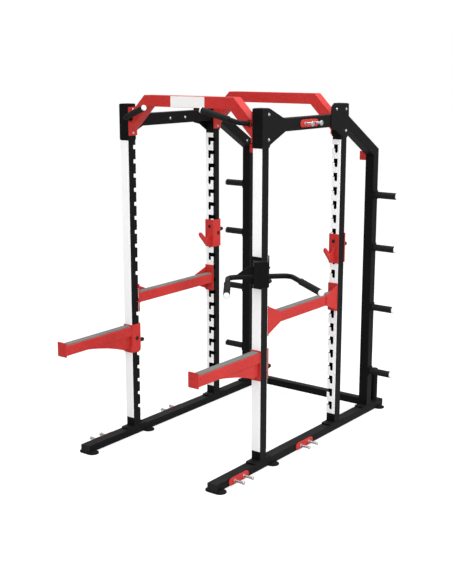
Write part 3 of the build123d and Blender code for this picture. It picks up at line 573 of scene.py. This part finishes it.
# welds of the black frame
bm = bmesh.new()
for s in (-1, 1):
    for y0, y1 in ((YF0 + 3, YF1 - 3), (YR0 + 3, YR1), (S0, S1)):
        weld(bm, rect_z(BASE_Z, s * XI, s * XO, y0, y1), 3.0, True)
    weld(bm, rect_y(YR1, s * XI, s * XO, 2269.7, 2357.7), 3.0, True)
    weld(bm, rect_x(s * XI, S0 + 5, S1 - 5, BASE_Z, 140), 2.6, True)
    for z in (1742.0, 1342.0, 878.0, 368.0):
        weld(bm, rect_x(s * XO, S0 + 3, S1 - 3, z - 32, z + 32), 2.6, True)
        weld(bm, circle(V(s * (XO + 6), SC, z), X1, 18.5), 1.8, True)
    weld(bm, circle(V(s * RX, 1103, RUN_Z1 + 8), Z1_, 28.3, 56), 2.8, True)
    for e in (-1, 1):
        weld(bm, [V(s * RX + e * 38, 1103 - 36, RUN_Z1), V(s * RX + e * 38, 1103 + 36, RUN_Z1)], 2.4)
    # the mitre where the storage upright turns into the sloped beam
    for x in (XI, XO):
        weld(bm, [V(s * x, S0, 2084 + 70 * math.tan(math.radians(30)) - 88), V(s * x, S1, 2084)], 1.6)
piece("frame_weld_beads", bm, "frame", BLACK)

# welds of the red parts on the frame
bm = bmesh.new()
for s in (-1, 1):
    for y0, y1 in ((YF0, YF1), (YR0, YR1)):
        weld(bm, [V(s * XE, y0 + 2, 2357), V(s * XE, y1 - 2, 2357)], 2.8)
        weld(bm, [V(s * XE, y0 + 2, 2251), V(s * XE, y1 - 2, 2251)], 2.8)
    for y in (S0 + 2, S0 + 10):
        weld(bm, [V(s * XI, y, 2001), V(s * XI, y, 2064)], 1.8)
    weld(bm, circle(V(s * 506.5, YF0 - 4, 2337.7), Vector((s * -39, -107, 11)), 17.0, 40), 1.9, True)
    for x, y, z in ((605.0, YF0 - 243, 57.0), (605.0, YF0 + 545, 57.0), (603.0, YF0 + 542, 2319.0)):
        for e in (-1, 1):
            weld(bm, [V(s * x, y - 82, z + e * 24), V(s * x, y + 82, z + e * 24)], 1.8)
piece("red_weld_beads", bm, "frame", RED)

# bolts
bm = bmesh.new()
for s in (-1, 1):
    for y0, y1 in ((YF0 - 62, YF1 + 62), (YR0 - 62, YR1 + 62), (S0 - 60, S1 + 60)):
        for y in (y0 + 21, y1 - 21):
            hex_bolt(bm, V(s * RX, y, BASE_Z), Z1_, 9.2, 6.2, 12.0)
o = piece("detailed_base_bolts", bm, "frame", BOLT_DARK, False)
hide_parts("base_bolts")

bm = bmesh.new()
for s in (-1, 1):
    for y, z in ((YF0 + 65, 2394), (YF0 + 66, 2236), (YR0 - 74, 2398), (YR1 - 25, 2393), (YR1 - 24, 2243)):
        socket_bolt(bm, V(s * (XO + 5), y, z), X1 * s, 7.8, 5.2, 10.3)
    socket_bolt(bm, V(s * XI, S0 - 38, 2098), X1 * -s, 7.8, 5.2, 10.3)
    for yc in ((YF0 + YF1) / 2, (YR0 + YR1) / 2):
        for z in (2235.0, 2394.0):
            socket_bolt(bm, V(s * XE, yc, z), X1 * -s, 7.8, 5.2, 10.3)
    for dy in (-85.0, 85.0):
        socket_bolt(bm, V(s * XI, YF0 + 542 + dy, 2317), X1 * -s, 7.8, 5.2, 10.3)
o = piece("detailed_frame_bolts", bm, "frame", ZINC, False)
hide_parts("frame_bolts")

bm = bmesh.new()
for s in (-1, 1):
    for z in (1742.0, 1342.0, 878.0, 368.0):
        hex_bolt(bm, V(s * XI, SC, z), X1 * -s, 10.5, 7.0, 13.5)
o = piece("detailed_weight_horn_bolts", bm, "frame", BOLT_DARK, False)
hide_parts("weight_horn_bolts")


# ribbed rubber over the grip sleeves, with a rolled collar at the inner end
def ribbed_grip(bm, a, b, r):
    d = b - a
    L = d.length / MM
    prof = [(1.5, r - 0.2), (2.2, r + 1.6), (5.5, r + 2.0), (8.8, r + 1.6), (9.6, r + 0.1)]
    s = 13.0
    while s < L - 12:
        prof += [(s, r + 0.12), (s + 0.9, r + 0.75), (s + 2.1, r + 0.75), (s + 3.0, r + 0.12)]
        s += 5.2
    prof += [(L - 4.0, r + 0.12), (L - 3.6, r - 0.2)]
    lathe(bm, a, d, prof, 28)


G_BEND, G_END = Vector((477, YF0 - 85, 2346)), Vector((232, YF0 - 161, 2423))
gd = (G_END - G_BEND).normalized()
ga, gb_ = G_BEND + gd * 62.0, G_END - gd * 12.0
bm = bmesh.new()
for s in (-1, 1):
    ribbed_grip(bm, V(s * ga.x, ga.y, ga.z), V(s * gb_.x, gb_.y, gb_.z), 20.0)
piece("pull_up_grip_ribs", bm, "frame", GRIP)

DZ = 1372.0
R2 = math.sqrt(0.5)
Dv, Nv = Vector((R2, R2, 0)), Vector((R2, -R2, 0))
base_c = Vector((XO, YF0, DZ)) + Nv * 40 - Dv * 20
A0, B0 = base_c - Dv * 195, base_c + Dv * 195
TA, TB = A0 + Nv * 530 - Dv * 92, B0 + Nv * 530 + Dv * 92
A2, B2 = A0 - Dv * 8, B0 + Dv * 8
bm = bmesh.new()
for P2, T in ((A2, TA), (B2, TB)):
    d = (T - P2).normalized()
    tip = T - d * 12
    st = tip - d * 330
    ribbed_grip(bm, V(*st), V(*tip), 20.5)
piece("dip_grip_ribs", bm, "dip_station", GRIP)


# fluted knobs on the spring lock pins
def fluted_knob(bm, y0, x, z):
    prof = [(42.2, 9.0), (42.4, 13.2), (44.5, 14.5), (47.5, 15.2), (62.0, 15.2), (66.0, 14.6), (69.5, 12.6), (71.6, 9.5), (72.2, 5.0), (72.3, 0)]
    lathe(bm, V(x, y0, z), Y1, prof, 60, lambda k, t: 1.0 - 0.075 * (0.5 - 0.5 * math.cos(10 * t)) if 2 <= k <= 6 else 1.0)


LOCKS = {}
for s, side in ((1, "right"), (-1, "left")):
    LOCKS[f"j_cup_{side}_lock"] = (YR1 + 8.6, s * XC, 188.0 + 1200 + 33)
    LOCKS[f"spotter_arm_{side}_lock"] = (YF1 + 8.6, s * XC, 188.0 + 500 + 33)
LOCKS["dip_station_lock"] = (YF1 + 8.6, XC, 188.0 + 1100 + 16)
for body, (y0, x, z) in LOCKS.items():
    bm = bmesh.new()
    fluted_knob(bm, y0, x, z)
    piece(body + "_knob_grip", bm, body, KNOB)

# welds of the lift-off attachments
JF = YR0 - 5.6
SF = YF0 - 5.6
for s, side in ((1, "right"), (-1, "left")):
    bm = bmesh.new()
    for x in (XC - 10, XC + 6):
        weld(bm, [V(s * x, JF, 1305), V(s * x, JF, 1408)], 2.2)
    weld(bm, circle(V(s * XC, YR1 + 8.6, 1421), Y1, 10.3), 1.8, True)
    piece(f"j_cup_{side}_weld_beads", bm, f"j_cup_{side}", RED)

    bm = bmesh.new()
    socket_bolt(bm, V(s * (XC - 3), JF + 0.2, 1458), -Y1, 10.0, 5.6, 12.8)
    piece(f"j_cup_{side}_face_bolt", bm, f"j_cup_{side}", KNOB)

    bm = bmesh.new()
    weld(bm, rect_y(SF, s * (XC - 35), s * (XC + 35), 781, 848), 2.6, True)
    for x in (XC - 22, XC + 22):
        weld(bm, [V(s * x, SF, 692), V(s * x, SF, 779)], 2.4)
    weld(bm, rect_y(YF0 - 656, s * (XC - 35), s * (XC + 35), 780, 849), 2.2, True)
    for x in (XC - 35, XC + 35):
        weld(bm, [V(s * x, YF0 - 432, 780), V(s * x, YF0 - 75, 780)], 1.9)
    weld(bm, circle(V(s * XC, YF1 + 8.6, 721), Y1, 10.3), 1.8, True)
    piece(f"spotter_arm_{side}_weld_beads", bm, f"spotter_arm_{side}", RED)

    bm = bmesh.new()
    ya, yb = YF1 + 0.6 + 8, YR0 - 0.6 - 8
    for y, zt in ((ya, 1145), (yb, 1132)):
        weld(bm, rect_y(y, s * (XC - 30), s * (XC + 30), 1013, 1082), 2.4, True)
        weld(bm, [V(s * (XC + 30), y, 960), V(s * (XC + 30), y, 1011)], 2.2)
        weld(bm, [V(s * (XC + 36), y, 960), V(s * (XC + 36), y, zt)], 2.2)
        weld(bm, [V(s * (XC + 30), y, 1085), V(s * (XC + 30), y, zt)], 2.2)
    piece(f"safety_bar_{side}_weld_beads", bm, f"safety_bar_{side}", RED)


def dg(k, n, z):
    q = base_c + Dv * k + Nv * n
    return V(q.x, q.y, z)


bm = bmesh.new()
for k in (-38.3,):
    weld(bm, [c + Vector((0, 0, 0)) for c in circle(dg(k, 0, DZ), Dv, 17.4, 40)], 2.2, True)
for z in (1306.0, 1464.0):
    weld(bm, [dg(-32, 14, z), dg(56, 14, z)], 2.0)
for n in (-3.0, 3.0):
    weld(bm, [dg(-38, n, DZ + 19), dg(-38, n, DZ + 64)], 1.8)
weld(bm, circle(V(XC, YF1 + 8.6, 188 + 1100 + 16), Y1, 10.3), 1.8, True)
piece("dip_station_weld_beads", bm, "dip_station", BLACK)
